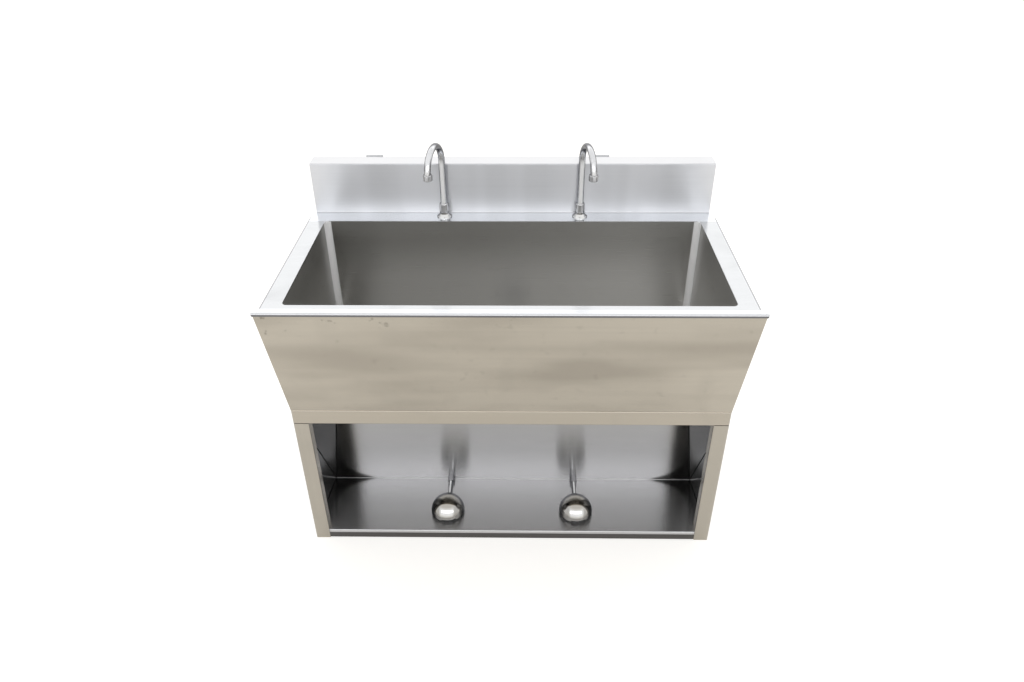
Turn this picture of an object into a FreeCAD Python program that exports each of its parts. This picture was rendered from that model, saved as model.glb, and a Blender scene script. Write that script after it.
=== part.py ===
"""Two-station, foot-operated wash trough in folded stainless sheet.

X runs along the trough, Y from the user towards the wall, Z up.
The origin is on the floor, under the middle of the outer box. Sizes are in millimetres.
"""
import FreeCAD, Part
import math
import os

# ---------------------------------------------------------------- driving dimensions
# Sheet metal
sheet = 1.5                 # thickness of every folded panel
bend = 1.5                  # inside radius of every fold
return_width = 28.0         # width of the turned-back edges of the face frame and braces

# Basin and the deck round it
basin_width = 1100.0        # clear opening, left to right
basin_length = 483.0        # clear opening, front to back
basin_depth = 310.0         # rim to the lowest edge of the basin's floor
basin_fall = 12.0           # drop of the basin's floor from front to back
basin_corner = 16.0         # radius of the upright corners
basin_cove = 15.0           # radius between walls and floor
basin_flange = 12.0         # width of the flange under the deck
hole_front_corner = 12.0    # corner radius of the deck's opening, front
hole_rear_corner = 8.0      # corner radius of the deck's opening, rear
side_ledge = 50.0           # deck beside the opening
front_ledge = 25.0          # deck between the lip and the opening
rear_ledge = 63.0           # deck between the opening and the backsplash
rim_height = 865.0          # floor to the top of the deck
deck_skirt = 20.0           # depth of the deck's turned-down edge
deck_tuck = 16.0            # how far the deck runs in under the backsplash

# Front lip and sloping apron
lip_depth = 22.0            # front to back
lip_rise = 6.0              # above the deck
lip_face = 12.0             # height of the lip's upright front
lip_step = 5.0              # apron set back under the lip
lip_flare = 10.0            # each end of the lip past the side panel
apron_setback = 100.0       # lip's front to the face frame
apron_foot = 20.0           # flange at the apron's lower edge

# Backsplash
splash_rise = 152.0         # above the deck
splash_depth = 60.0         # depth of its flat top
splash_inset = 12.0         # each end short of the deck's side
splash_taper = 46.0         # length of the deck's tapered rear corner
splash_drop = 35.0          # turned-down rear edge
splash_cove = 4.0           # rounding where it meets the deck

# Tabs that hook the rear edge to the wall
tab_width = 50.0
tab_height = 40.0
tab_thickness = 3.0
tab_stand = 4.0             # above the backsplash's top
tab_left = -407.0           # places along the backsplash
tab_right = 261.0
tab_hole = 4.5              # radius of the fixing hole
tab_hole_drop = 20.0        # hole below the backsplash's top
tab_spacer = 9.0            # radius of the spacer behind each tab
tab_standoff = 14.0         # length of the spacer

# Toe space
toe_sill = 34.0             # height of the toe space's floor
toe_depth = 228.0           # face frame to back panel
toe_nose = 10.0             # turned-down front edge of the floor
stile_width = 42.0          # side members of the face frame, over the side panel's edge
top_rail_height = 47.0
liner_pinch_low = 14.0      # how far the liner leans in at the rear, at the floor
liner_pinch_high = 68.0     # and at the top
tail_floor = 20.0           # floor panel behind the back panel

# Braces across the open back, and bearers under the basin
brace_height = 40.0
middle_brace_height = 30.0
bearer_width = 40.0
bearer_spacing = 600.0
bearer_end = 30.0           # height of a bearer's ends
bearer_room = 56.0          # lowest edge of the basin's floor to the top of the face frame

# Stations: one spout and one pedal each
station_spacing = 400.0

# Swivel spouts
spout_setback = 27.0        # axis in front of the backsplash
spout_rise = 171.0          # deck to the start of the arch
spout_radius = 58.0         # arch, at the tube's middle
spout_tube = 9.25           # radius of the tube
spout_wall = 1.25
spout_grip = 17.0           # tube held inside the body
spout_left_turn = 14.0      # degrees towards the left from straight ahead
spout_right_turn = -12.0
flange_radius = 22.0
flange_height = 15.0
flange_shoulder = 1.0       # bell flange's top past the neck nut
neck_radius = 12.75
neck_height = 26.0
neck_lip = 6.0              # thickness of the nut's top round the tube
neck_edge = 1.2             # turned-off upper edge
thread_radius = 11.0        # body inside the neck nut
shank_radius = 10.5         # threaded shank through the deck
shank_drop = 42.0           # shank below the deck
shank_bore = 6.5
aerator_radius = 12.3
aerator_height = 16.0
aerator_grip = 11.0         # how far the tube's end goes into the aerator
aerator_hole = 1.5
aerator_rim = 1.5           # thickness of the rim round the outlet face
aerator_edge = 0.8          # turned-off edges
running_gap = 0.05          # radial clearance of a moving fit
end_gap = 0.3               # clearance at the end of a moving part
thread_gap = 0.1            # radial clearance of a nut on its thread
hole_gap = 0.75             # radial clearance of a pipe or shank in a sheet's hole
locknut_flats = 32.0
locknut_height = 9.0
washer_radius = 19.0
washer_thickness = 2.0
tail_nut_flats = 24.0
tail_nut_height = 16.0

# Floor pedals
pedal_setback = 83.0        # axis behind the face frame
dome_radius = 52.0
dome_wall = 1.5
dome_gap = 6.0              # rim above the floor at rest
pedal_travel = 5.0
finger_notch_width = 44.0   # in the front of the dome's rim, for lifting it off
finger_notch_height = 5.0
finger_notch_offset = 6.0   # its middle to the right of the dome's
base_radius = 34.0
base_thickness = 4.0
boss_radius = 17.0
boss_height = 24.0          # above the base
bore_floor = 3.0            # metal left under the stem's bore
stem_radius = 5.0
stem_collar = 14.0          # radius of the seat under the dome
collar_height = 5.0
spring_radius = 11.0        # to the middle of the wire
spring_wire = 0.9           # radius of the wire
spring_turns = 5
spring_steps = 12           # straight lengths in each turn
screw_circle = 27.0         # radius of the circle of base screws
screw_count = 4
screw_head = 4.2
screw_head_height = 2.5
screw_shank = 2.5
screw_reach = 4.0           # screw below the floor panel
port_radius = 7.5
port_length = 30.0          # from the valve's axis
notch_gap = 1.5             # round the tube, in the dome's rim
outlet_radius = 6.0         # tube from valve to back panel
outlet_height = 10.5        # its middle above the toe space's floor
union_flats = 19.0
union_front = 26.0          # nut in front of the back panel
union_rear = 24.0           # union behind it

# Water pipes in the open back
riser_radius = 6.0
riser_bend = 60.0
manifold_radius = 10.65
manifold_height = 19.0      # its middle above the floor
manifold_setback = 66.0     # behind the back panel
manifold_stub = 12.0        # pipe past each branch
branch_radius = 6.0
branch_bend = 12.0
branch_wall = 1.0
inlet_height = 140.0        # middle of the inlet thread
inlet_radius = 10.65
inlet_bend = 32.0
inlet_thread = 10.48        # radius of the outside thread
inlet_thread_length = 15.0
inlet_flats = 27.0
inlet_hex = 12.0
inlet_inset = 4.0           # thread's end in front of the wall plane

# Drain and trap
drain_setback = 100.0       # drain's middle in front of the basin's rear wall
drain_seat = 56.0           # radius of the flat seat
drain_seat_flare = 6.0      # recess wider at the floor
drain_seat_depth = 7.0      # seat below the lowest edge of the basin's floor
drain_flange = 54.0
drain_flange_thickness = 2.0
drain_cup = 42.0
drain_cup_depth = 46.0
drain_wall = 2.0
drain_neck = 17.5
drain_neck_length = 22.0
strainer_thickness = 2.0
strainer_step = 2.5         # ledge that carries the strainer
strainer_hole = 3.0
strainer_ring = 12.0        # radius of the innermost ring of holes
strainer_pitch = 9.0        # between rings, and between holes along a ring
strainer_ring_count = 3
gasket_thickness = 2.5
drain_nut_height = 10.0
drain_nut_radius = 52.0
waste_radius = 20.0
waste_wall = 1.6
waste_bend = 45.0
arm_bend = 38.0
tailpiece_length = 110.0
arm_rise = 14.0             # straight pipe between the trap's nut and the arm's bend
trap_straight = 20.0
slip_nut_radius = 26.0
slip_nut_height = 18.0
waste_inset = 4.0           # pipe's end in front of the wall plane

# ---------------------------------------------------------------- places worked out from them
half_deck = basin_width / 2 + side_ledge
half_splash = half_deck - splash_inset
half_inside = half_deck - sheet
overall_depth = (lip_depth + front_ledge + basin_length + rear_ledge
                 + splash_depth + tab_thickness + tab_standoff)

y_front = -overall_depth / 2
y_lip_back = y_front + lip_depth
y_basin_front = y_lip_back + front_ledge
y_basin_rear = y_basin_front + basin_length
y_splash = y_basin_rear + rear_ledge
y_back = y_splash + splash_depth
y_tab = y_back + tab_thickness
y_wall = y_tab + tab_standoff
y_deck_rear = y_splash + deck_tuck
y_taper = y_splash - splash_taper
y_face = y_front + apron_setback
y_stile_back = y_face + return_width
y_toe_back = y_face + toe_depth
y_floor_rear = y_toe_back + sheet + tail_floor
y_spout = y_splash - spout_setback
y_pedal = y_face + pedal_setback
y_manifold = y_toe_back + manifold_setback
y_drain = y_basin_rear - drain_setback

z_deck_under = rim_height - sheet
z_skirt = rim_height - deck_skirt
z_lip_top = rim_height + lip_rise
z_lip_bottom = z_lip_top - lip_face
z_floor_low = rim_height - basin_depth
z_apron_foot = z_floor_low - bearer_room
toe_head = z_apron_foot - top_rail_height
z_splash_top = rim_height + splash_rise
z_tab_hole = z_splash_top - tab_hole_drop
z_roof = toe_head + sheet
z_middle_brace = z_apron_foot + sheet
z_outlet = toe_sill + outlet_height
z_dome_rim = toe_sill + dome_gap
z_base_top = toe_sill + base_thickness
z_boss_top = z_base_top + boss_height
z_shank_end = rim_height - shank_drop
z_neck = rim_height + flange_height
z_neck_top = z_neck + neck_height
z_arch = rim_height + spout_rise
z_nozzle = z_arch - aerator_height
z_seat = z_floor_low - drain_seat_depth

floor_slope = basin_fall / basin_length
apron_lean = ((apron_setback - lip_step) / (z_lip_bottom - z_apron_foot))
half_stations = station_spacing / 2
SIDES = (("left", -1), ("right", 1))
UP = FreeCAD.Vector(0, 0, 1)
DOWN = FreeCAD.Vector(0, 0, -1)
BACK = FreeCAD.Vector(0, 1, 0)


# ---------------------------------------------------------------- shape helpers
def at(x, y, z):
    return FreeCAD.Vector(x, y, z)


def block(x0, x1, y0, y1, z0, z1):
    """Box between two corners."""
    return Part.makeBox(x1 - x0, y1 - y0, z1 - z0, at(x0, y0, z0))


def rod(radius, start, end):
    """Round bar between two points."""
    run = end - start
    return Part.makeCylinder(radius, run.Length, start, run)


def fused(first, *others):
    return first.fuse(list(others)).removeSplitter()


def prism(points, along):
    """Flat outline of corner points, pushed along a vector."""
    return Part.Face(Part.makePolygon(points + [points[0]])).extrude(along)


def turned(profile, x, y):
    """Outline of (radius, height) points, turned about the upright axis at x, y."""
    points = [at(x + radius, y, height) for radius, height in profile]
    face = Part.Face(Part.makePolygon(points + [points[0]]))
    return face.revolve(at(x, y, 0), UP, 360)


def rounded_path(corners, radii):
    """Edges through corner points, each inner corner rounded to its radius."""
    edges = []
    start = corners[0]
    for before, corner, after, radius in zip(corners, corners[1:], corners[2:], radii):
        into = (corner - before).normalize()
        out = (after - corner).normalize()
        half = into.getAngle(out) / 2
        inward = (out - into).normalize()
        enter = corner - into * (radius * math.tan(half))
        leave = corner + out * (radius * math.tan(half))
        middle = corner + inward * (radius / math.cos(half) - radius)
        if (enter - start).Length > 1e-6:
            edges.append(Part.LineSegment(start, enter).toShape())
        edges.append(Part.Arc(enter, middle, leave).toShape())
        start = leave
    if (corners[-1] - start).Length > 1e-6:
        edges.append(Part.LineSegment(start, corners[-1]).toShape())
    return edges


def folded(points, place, along, side):
    """Sheet bent along points on one of its faces, then pushed along a vector.

    place turns a flat (u, v) point into a point in space. side is 1 where the metal
    lies left of the line of points, and -1 where it lies right.
    """
    runs = []
    for (u0, v0), (u1, v1) in zip(points, points[1:]):
        length = math.hypot(u1 - u0, v1 - v0)
        runs.append(((u1 - u0) / length, (v1 - v0) / length))
    far = []
    near_radii = []
    far_radii = []
    for i, (u, v) in enumerate(points):
        first = runs[max(i - 1, 0)]
        last = runs[min(i, len(runs) - 1)]
        step = side * sheet / (1 + first[0] * last[0] + first[1] * last[1])
        far.append((u - step * (first[1] + last[1]), v + step * (first[0] + last[0])))
        if 0 < i < len(points) - 1:
            bends_to_metal = (first[0] * last[1] - first[1] * last[0]) * side > 0
            near_radii.append(bend + sheet if bends_to_metal else bend)
            far_radii.append(bend if bends_to_metal else bend + sheet)
    near_corners = [place(u, v) for u, v in points]
    far_corners = [place(u, v) for u, v in reversed(far)]
    outline = rounded_path(near_corners, near_radii)
    outline.append(Part.LineSegment(near_corners[-1], far_corners[0]).toShape())
    outline += rounded_path(far_corners, far_radii[::-1])
    outline.append(Part.LineSegment(far_corners[-1], near_corners[0]).toShape())
    return Part.Face(Part.Wire(outline)).extrude(along)


def folded_along_x(points, half_width, side):
    """Sheet whose folds run left to right; points are (y, z)."""
    def place(y, z):
        return at(-half_width, y, z)
    return folded(points, place, at(2 * half_width, 0, 0), side)


def pipe(corners, radius, bore, bend_radius):
    """Bent pipe along corner points, all bends alike; bore 0 makes it solid."""
    radii = [bend_radius] * (len(corners) - 2)
    run = corners[1] - corners[0]

    def swept(section_radius):
        path = Part.Wire(rounded_path(corners, radii))
        ring = Part.Wire(Part.makeCircle(section_radius, corners[0], run))
        return path.makePipeShell([ring], True, False)

    if bore > 0:
        return swept(radius).cut(swept(bore))
    return swept(radius)


def hexagon(flats, start, axis, length, bore):
    """Six-sided nut with turned-off corners, round a bore."""
    across_corners = flats / math.sqrt(3)
    trim = (across_corners - flats / 2)
    points = []
    for k in range(6):
        turn = math.radians(60 * k)
        points.append(at(across_corners * math.cos(turn), across_corners * math.sin(turn), 0))
    nut = prism(points, at(0, 0, length))
    round_body = turned([(0, 0), (flats / 2, 0), (across_corners, trim),
                         (across_corners, length - trim), (flats / 2, length), (0, length)], 0, 0)
    nut = nut.common(round_body)
    if bore > 0:
        nut = nut.cut(Part.makeCylinder(bore, length, at(0, 0, 0), UP))
    nut.Placement = FreeCAD.Placement(start, FreeCAD.Rotation(UP, axis))
    return nut


def rounded_rectangle(x, y0, y1, front_corner, rear_corner, z0, z1):
    """Upright block, x either side of the middle, with rounded upright corners."""
    solid = block(-x, x, y0, y1, z0, z1)
    middle = (y0 + y1) / 2
    for radius, is_mine in ((front_corner, lambda y: y < middle), (rear_corner, lambda y: y > middle)):
        upright = []
        for edge in solid.Edges:
            low, high = edge.BoundBox.ZMin, edge.BoundBox.ZMax
            if high - low > z1 - z0 - 1e-3 and is_mine(edge.CenterOfMass.y):
                if edge.BoundBox.XLength < 1e-3 and edge.BoundBox.YLength < 1e-3:
                    upright.append(edge)
        corners = [e for e in upright if abs(abs(e.CenterOfMass.x) - x) < 1e-3]
        solid = solid.makeFillet(radius, corners)
    return solid


# ---------------------------------------------------------------- basin and deck
def basin_form(grow, top):
    """Inside of the basin, or its outside when grown by the sheet's thickness."""
    x = basin_width / 2 + grow
    front = y_basin_front - grow * math.hypot(1, apron_lean)
    rear = y_basin_rear + grow
    floor_at_rear = z_floor_low - grow * math.hypot(1, floor_slope) - grow * floor_slope
    wall_run = front + apron_lean * (rim_height - floor_at_rear - floor_slope * rear)
    y_low = wall_run / (1 - apron_lean * floor_slope)
    z_low = floor_at_rear + floor_slope * (rear - y_low)
    y_top = front - apron_lean * (top - rim_height)
    profile = [at(-x, y_top, top), at(-x, y_low, z_low), at(-x, rear, floor_at_rear), at(-x, rear, top)]
    form = prism(profile, at(2 * x, 0, 0))
    upright = []
    for edge in form.Edges:
        if edge.BoundBox.XLength < 1e-3 and edge.BoundBox.ZLength > basin_depth / 2:
            upright.append(edge)
    form = form.makeFillet(basin_corner + grow, upright)
    floor = min(form.Faces, key=lambda face: face.CenterOfMass.z)
    return form.makeFillet(basin_cove + grow, floor.Edges)


def floor_underside(y):
    """Height of the basin's underside."""
    return z_floor_low - sheet * math.hypot(1, floor_slope) + floor_slope * (y_basin_rear - y)


def make_basin():
    flange = rounded_rectangle(basin_width / 2 + basin_flange, y_basin_front - basin_flange,
                               y_basin_rear + basin_flange, basin_flange, basin_flange,
                               z_deck_under - sheet, z_deck_under)
    recess_top = z_floor_low + basin_fall
    recess = turned([(0, z_seat), (drain_seat, z_seat), (drain_seat + drain_seat_flare, recess_top),
                     (0, recess_top)], 0, y_drain)
    cup = turned([(0, z_seat - sheet), (drain_seat + sheet, z_seat - sheet),
                  (drain_seat + drain_seat_flare + sheet, recess_top), (0, recess_top)], 0, y_drain)
    body = basin_form(sheet, z_deck_under).fuse([flange, cup])
    body = body.cut(basin_form(0, rim_height + sheet))
    body = body.cut(recess)
    below = at(0, y_drain, z_seat - 2 * sheet)
    return body.cut(rod(drain_cup + thread_gap, below, below + UP * (3 * sheet)))


def deck_outline(inset, front, z):
    """Corner points of the deck's outer edge, drawn in by inset."""
    half = []
    half.append(at(half_deck - inset, front, z))
    half.append(at(half_deck - inset, y_taper, z))
    half.append(at(half_splash - inset, y_splash, z))
    half.append(at(half_splash - inset, y_deck_rear - inset, z))
    mirrored = [at(-p.x, p.y, p.z) for p in reversed(half)]
    return half + mirrored


def make_deck():
    shell = prism(deck_outline(0, y_lip_back, z_skirt), at(0, 0, deck_skirt))
    hollow = prism(deck_outline(sheet, y_lip_back + sheet, z_skirt), at(0, 0, deck_skirt - sheet))
    for solid_radius, which in ((bend + sheet, "shell"), (bend, "hollow")):
        solid = shell if which == "shell" else hollow
        top = solid.BoundBox.ZMax
        long_edges = []
        for edge in solid.Edges:
            is_top = abs(edge.BoundBox.ZMin - top) < 1e-3
            is_side = edge.BoundBox.XLength < 1e-3 and edge.BoundBox.YLength > basin_length / 2
            if is_top and is_side:
                long_edges.append(edge)
        solid = solid.makeFillet(solid_radius, long_edges)
        if which == "shell":
            shell = solid
        else:
            hollow = solid
    opening = rounded_rectangle(basin_width / 2, y_basin_front, y_basin_rear, hole_front_corner,
                                hole_rear_corner, z_skirt, rim_height + sheet)
    deck = shell.cut(hollow).cut(opening)
    for _, sign in SIDES:
        x = sign * half_stations
        deck = deck.cut(rod(shank_radius + hole_gap, at(x, y_spout, z_skirt), at(x, y_spout, z_lip_top)))
    return deck


# ---------------------------------------------------------------- apron and backsplash
def side_outline(x):
    """Corner points of the side panel, seen from the side."""
    lean = (y_face - y_lip_back) / (rim_height - z_apron_foot)
    y_high = y_lip_back + lean * (rim_height - z_skirt)
    outline = [(y_face, 0), (y_back, 0), (y_back, z_skirt), (y_high, z_skirt), (y_face, z_apron_foot)]
    return [at(x, y, z) for y, z in outline]


def make_front_apron():
    profile = [(y_lip_back, z_skirt), (y_lip_back, z_lip_top), (y_front, z_lip_top),
               (y_front, z_lip_bottom), (y_front + lip_step, z_lip_bottom),
               (y_face, z_apron_foot), (y_face + apron_foot, z_apron_foot)]
    front = folded_along_x(profile, half_deck + lip_flare, 1)
    keep = block(-half_deck, half_deck, y_front, y_lip_back, z_apron_foot, z_lip_top)
    keep = keep.fuse(block(-half_deck, half_deck, y_front, y_face + apron_foot, z_apron_foot, z_lip_top))
    cheeks = []
    for _, sign in SIDES:
        side = sign * half_deck
        tip = sign * (half_deck + lip_flare)
        low = at(side, y_face, z_apron_foot)
        high_front = at(side, y_front, rim_height)
        high_rear = at(side, y_lip_back, rim_height)
        corner = at(tip, y_front, rim_height)
        faces = []
        for ring in ((high_front, high_rear, low), (high_front, corner, low),
                     (corner, high_rear, low), (high_front, high_rear, corner)):
            faces.append(Part.Face(Part.makePolygon(list(ring) + [ring[0]])))
        wedge = Part.makeSolid(Part.makeShell(faces))
        cap = prism([high_front, corner, high_rear], at(0, 0, lip_rise))
        keep = keep.fuse([wedge, cap])
        cheeks.append(prism([corner, high_rear, low], at(-sign * sheet, 0, 0)))
    ahead = y_front - apron_setback
    before_apron = [(y_front + lip_step, z_lip_top), (y_front + lip_step, z_lip_bottom),
                    (y_face, z_apron_foot), (ahead, z_apron_foot), (ahead, z_lip_top)]
    before = prism([at(-2 * half_deck, y, z) for y, z in before_apron], at(4 * half_deck, 0, 0))
    skirt = block(-2 * half_deck, 2 * half_deck, y_lip_back, y_splash, z_skirt, z_lip_top)
    above = block(-2 * half_deck, 2 * half_deck, y_front, y_splash, z_lip_bottom, z_lip_top)
    trimmed = []
    for cheek in cheeks:
        trimmed.append(cheek.cut(before.fuse([skirt, above])))
    apron = fused(front.common(keep), *trimmed)
    for _, sign in SIDES:
        side = prism(side_outline(sign * half_inside), at(sign * (half_deck - half_inside), 0, 0))
        apron = apron.cut(side)
    return apron


def make_backsplash():
    profile = [(y_splash, rim_height), (y_splash, z_splash_top), (y_back, z_splash_top),
               (y_back, z_splash_top - splash_drop)]
    panel = folded_along_x(profile, half_splash, -1)
    corner = at(-half_splash, y_splash, rim_height)
    low = at(-half_splash, y_splash - splash_cove, rim_height)
    high = at(-half_splash, y_splash, rim_height + splash_cove)
    depth = splash_cove * (1 - math.sqrt(0.5))
    middle = at(-half_splash, y_splash - depth, rim_height + depth)
    outline = [Part.LineSegment(corner, low).toShape(), Part.Arc(low, middle, high).toShape(),
               Part.LineSegment(high, corner).toShape()]
    cove = Part.Face(Part.Wire(outline)).extrude(at(2 * half_splash, 0, 0))
    panel = fused(panel, cove)
    for x in (tab_left, tab_right):
        panel = panel.cut(tab_hole_rod(x))
    return panel


def make_splash_end(sign, backsplash):
    outer = sign * half_splash
    inner = sign * (half_splash - sheet)
    front = y_splash + sheet
    rear = y_back - sheet
    top = z_splash_top - sheet
    outline = [(front, rim_height), (y_deck_rear, rim_height), (y_deck_rear, z_skirt),
               (rear, z_skirt), (rear, top), (front, top)]
    points = [at(inner, y, z) for y, z in outline]
    return prism(points, at(outer - inner, 0, 0)).cut(backsplash)


def tab_hole_rod(x):
    return rod(tab_hole, at(x, y_back - 2 * sheet, z_tab_hole), at(x, y_wall + sheet, z_tab_hole))


def make_wall_tabs():
    tabs = []
    top = z_splash_top + tab_stand
    for x in (tab_left, tab_right):
        plate = block(x - tab_width / 2, x + tab_width / 2, y_back, y_tab, top - tab_height, top)
        spacer = rod(tab_spacer, at(x, y_back, z_tab_hole), at(x, y_wall, z_tab_hole))
        tabs.append(fused(plate, spacer).cut(tab_hole_rod(x)))
    return Part.makeCompound(tabs)


# ---------------------------------------------------------------- cabinet
def make_side_panel(sign):
    def place(x, y):
        return at(sign * x, y, 0)
    plan = [(half_deck, y_face - apron_setback), (half_deck, y_taper), (half_splash, y_splash),
            (half_splash, y_back), (half_splash - return_width, y_back)]
    panel = folded(plan, place, at(0, 0, z_skirt), 1)
    panel = panel.common(prism(side_outline(-2 * half_deck), at(4 * half_deck, 0, 0)))
    inner = sign * half_inside
    edge = sign * (half_inside - return_width)
    foot = block(min(inner, edge), max(inner, edge), y_stile_back, y_toe_back, 0, sheet)
    return fused(panel, foot)


def make_top_rail():
    profile = [(y_stile_back, toe_head), (y_face, toe_head), (y_face, z_apron_foot),
               (y_stile_back, z_apron_foot)]
    return folded_along_x(profile, half_inside, -1)


def make_stile(sign):
    inner = half_deck - stile_width

    def place(x, y):
        return at(sign * x, y, 0)
    plan = [(half_inside, y_face), (inner, y_face), (inner, y_stile_back)]
    return folded(plan, place, at(0, 0, toe_head), -1)


def make_bottom_rail():
    front = y_face + sheet
    top = toe_sill - sheet
    profile = [(y_stile_back, 0), (front, 0), (front, top), (y_stile_back, top)]
    return folded_along_x(profile, half_deck - stile_width, -1)


def make_toe_floor():
    profile = [(y_face, toe_sill - toe_nose), (y_face, toe_sill), (y_floor_rear, toe_sill),
               (y_floor_rear, 0)]
    floor = folded_along_x(profile, half_inside, -1)
    inner = half_deck - stile_width
    for _, sign in SIDES:
        edge = sign * inner
        outer = sign * half_deck
        floor = floor.cut(block(min(edge, outer), max(edge, outer), y_face, y_stile_back, 0, toe_sill))
        x = sign * half_stations
        floor = floor.cut(rod(branch_radius + hole_gap, at(x, y_pedal, 0), at(x, y_pedal, toe_sill)))
        floor = floor.cut(rod(branch_radius + hole_gap, at(x, y_floor_rear - 2 * sheet, manifold_height),
                              at(x, y_floor_rear + sheet, manifold_height)))
        for place in screw_places(x):
            floor = floor.cut(rod(screw_shank + thread_gap, place, place + UP * (2 * toe_sill)))
    return floor


def make_toe_back_panel():
    roof_front = y_face + 2 * sheet + bend
    profile = [(roof_front, z_roof), (y_toe_back, z_roof), (y_toe_back, toe_sill)]
    panel = folded_along_x(profile, half_inside, 1)
    for _, sign in SIDES:
        x = sign * half_stations
        panel = panel.cut(rod(outlet_radius + hole_gap, at(x, y_toe_back - sheet, z_outlet),
                              at(x, y_toe_back + 2 * sheet, z_outlet)))
    return panel


def make_liner(sign):
    front_low = at(sign * (half_inside - sheet), y_stile_back, toe_sill)
    front_high = at(sign * (half_inside - sheet), y_stile_back, toe_head)
    rear_low = at(sign * (half_inside - sheet - liner_pinch_low), y_toe_back, toe_sill)
    rear_high = at(sign * (half_inside - sheet - liner_pinch_high), y_toe_back, toe_head)
    outward = at(sign * sheet, 0, 0)
    lower = prism([front_low, front_high, rear_low], outward)
    upper = prism([front_high, rear_high, rear_low], outward)
    return lower.fuse(upper)


def make_rear_brace(low, high):
    inner = y_back - sheet - return_width
    outer = y_back - sheet
    profile = [(inner, low), (outer, low), (outer, high), (inner, high)]
    return folded_along_x(profile, half_splash - sheet - bend, 1)


def make_basin_bearers():
    bearers = []
    y0 = y_face + sheet
    y1 = y_back - sheet - bend
    front_seat = y_basin_front + apron_lean * basin_depth + 2 * basin_cove
    rear_seat = y_basin_rear - basin_cove
    low = z_middle_brace
    side_view = [(y0, low), (y0, low + bearer_end), (front_seat, floor_underside(front_seat)),
                 (rear_seat, floor_underside(rear_seat)), (y1, low + bearer_end), (y1, low)]
    for _, sign in SIDES:
        x0 = sign * bearer_spacing / 2 - bearer_width / 2
        x1 = x0 + bearer_width
        outer = prism([at(x0, y, z) for y, z in side_view], at(bearer_width, 0, 0))
        inner = outer.copy()
        inner.translate(at(0, 0, -sheet))
        inner = inner.common(block(x0 + sheet, x1 - sheet, y0, y1, 0, rim_height))
        under = block(x0 + sheet, x1 - sheet, y0, y1, low - sheet, low)
        bearers.append(outer.cut(inner.fuse(under)))
    return Part.makeCompound(bearers)


# ---------------------------------------------------------------- spouts
def spout_axis(sign):
    return sign * half_stations


def make_spout_flange(sign):
    bore = shank_radius + thread_gap
    foot = flange_radius
    shoulder = neck_radius + flange_shoulder
    waist = 0.35 * flange_height
    profile = [(bore, rim_height), (foot, rim_height), (foot, rim_height + 0.15 * flange_height),
               (0.8 * foot, rim_height + waist), (0.65 * foot, rim_height + 2 * waist),
               (shoulder, z_neck), (bore, z_neck)]
    return turned(profile, spout_axis(sign), y_spout)


def make_spout_body(sign):
    bore = spout_tube + running_gap
    z_spigot = z_neck_top - neck_lip
    z_shelf = z_spigot - spout_grip
    profile = [(shank_bore, z_shank_end), (shank_radius, z_shank_end), (shank_radius, z_neck),
               (thread_radius, z_neck), (thread_radius, z_spigot), (bore, z_spigot),
               (bore, z_shelf), (shank_bore, z_shelf)]
    return turned(profile, spout_axis(sign), y_spout)


def make_neck_nuts():
    nuts = []
    z_spigot = z_neck_top - neck_lip
    bore = spout_tube + running_gap
    for _, sign in SIDES:
        profile = [(thread_radius + thread_gap, z_neck), (neck_radius, z_neck),
                   (neck_radius, z_neck_top - neck_edge), (neck_radius - neck_edge, z_neck_top),
                   (bore, z_neck_top), (bore, z_spigot), (thread_radius + thread_gap, z_spigot)]
        nuts.append(turned(profile, spout_axis(sign), y_spout))
    return Part.makeCompound(nuts)


def spout_direction(turn):
    angle = math.radians(turn)
    return at(-math.sin(angle), -math.cos(angle), 0)


def make_gooseneck(sign, turn):
    x = spout_axis(sign)
    ahead = spout_direction(turn) * (2 * spout_radius)
    z_start = z_neck_top - neck_lip - spout_grip + end_gap
    z_end = z_nozzle + aerator_height - aerator_grip
    foot = at(x, y_spout, z_start)
    shoulder = at(x, y_spout, z_arch + spout_radius)
    corners = [foot, shoulder, shoulder + ahead, at(x, y_spout, z_end) + ahead]
    return pipe(corners, spout_tube, spout_tube - spout_wall, spout_radius)


def make_aerator(sign, turn):
    ahead = spout_direction(turn) * (2 * spout_radius)
    x = spout_axis(sign) + ahead.x
    y = y_spout + ahead.y
    top = z_nozzle + aerator_height
    z_stop = top - aerator_grip
    inside = aerator_radius - aerator_rim
    trimmed = aerator_radius - aerator_edge
    profile = [(0, z_nozzle + aerator_rim), (inside, z_nozzle + aerator_rim), (inside, z_nozzle),
               (trimmed, z_nozzle), (aerator_radius, z_nozzle + aerator_edge),
               (aerator_radius, top - aerator_edge), (trimmed, top), (spout_tube, top), (spout_tube, z_stop),
               (0, z_stop)]
    nozzle = turned(profile, x, y)
    jets = [at(x, y, z_nozzle)]
    ring = aerator_radius / 2
    for k in range(6):
        angle = math.radians(60 * k)
        jets.append(at(x + ring * math.cos(angle), y + ring * math.sin(angle), z_nozzle))
    for jet in jets:
        nozzle = nozzle.cut(rod(aerator_hole, jet, jet + UP * aerator_height))
    return nozzle


def make_deck_locknuts():
    pieces = []
    bore = shank_radius + thread_gap
    z_washer = z_deck_under - washer_thickness
    z_nut = z_washer - locknut_height
    for _, sign in SIDES:
        x = spout_axis(sign)
        pieces.append(turned([(bore, z_washer), (washer_radius, z_washer), (washer_radius, z_deck_under),
                              (bore, z_deck_under)], x, y_spout))
        pieces.append(hexagon(locknut_flats, at(x, y_spout, z_nut), UP, locknut_height, bore))
    return Part.makeCompound(pieces)


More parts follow.
